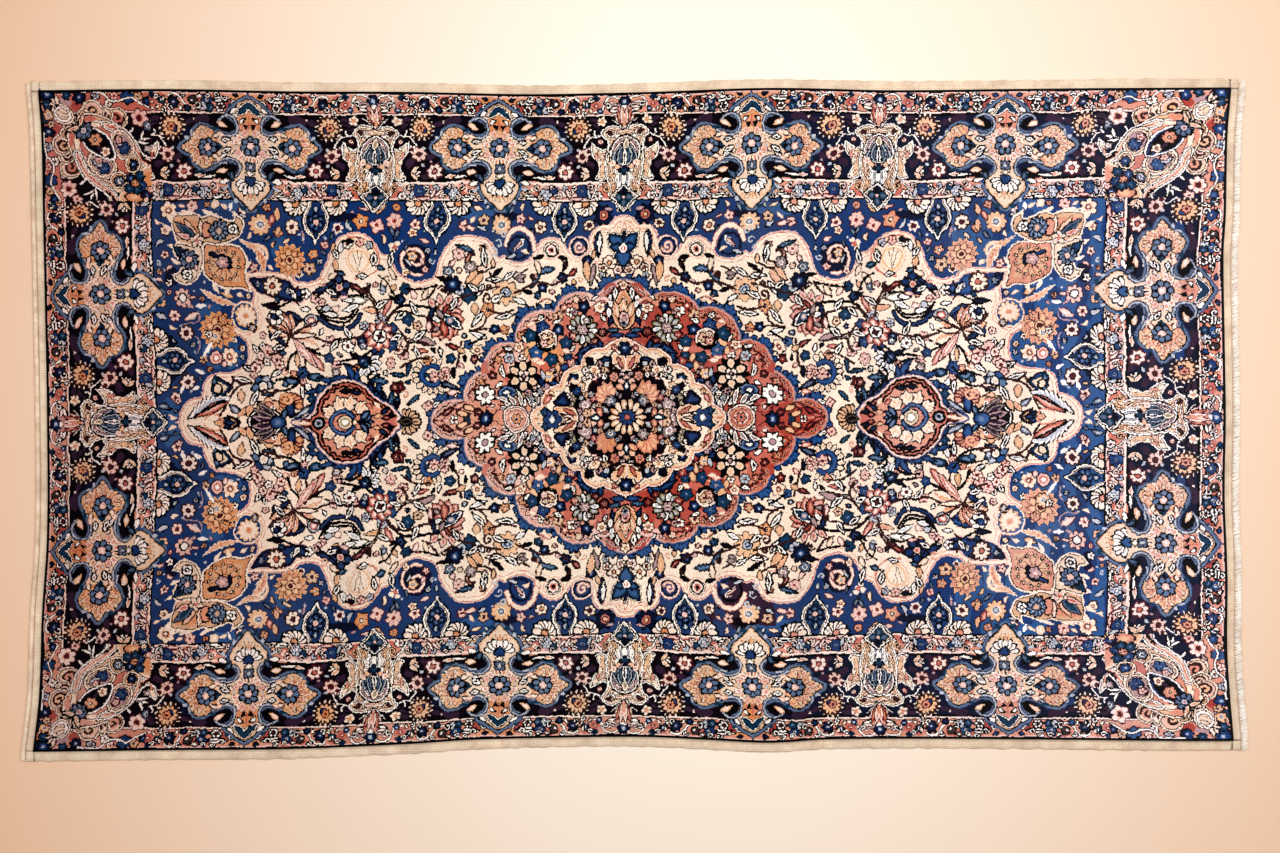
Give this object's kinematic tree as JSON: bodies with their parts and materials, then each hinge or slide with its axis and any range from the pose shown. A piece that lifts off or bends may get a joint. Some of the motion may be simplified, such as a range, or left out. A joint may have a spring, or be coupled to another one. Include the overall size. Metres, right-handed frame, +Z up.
{
  "type": "persian rug",
  "caption": "Flat hand-knotted pile rug with a lobed centre medallion, floral field and borders, a flat-woven edge band and white overcast end bindings.",
  "frame": {"origin": "middle of the rug's box, on the surface that it lies on", "axes": "+X along the rug's length, +Y across its width, +Z up out of the pile"},
  "size_m": [2.1536, 1.199, 0.0088],
  "materials": {
    "pile": "clipped wool pile in many dyed yarns, with a bare flat-woven band round it",
    "end_binding": "white cotton yarn, overcast in close stitches"
  },
  "bodies": {
    "root": {"rug": "pile", "end_binding_left": "end_binding", "end_binding_right": "end_binding"}
  },
  "joints": []
}
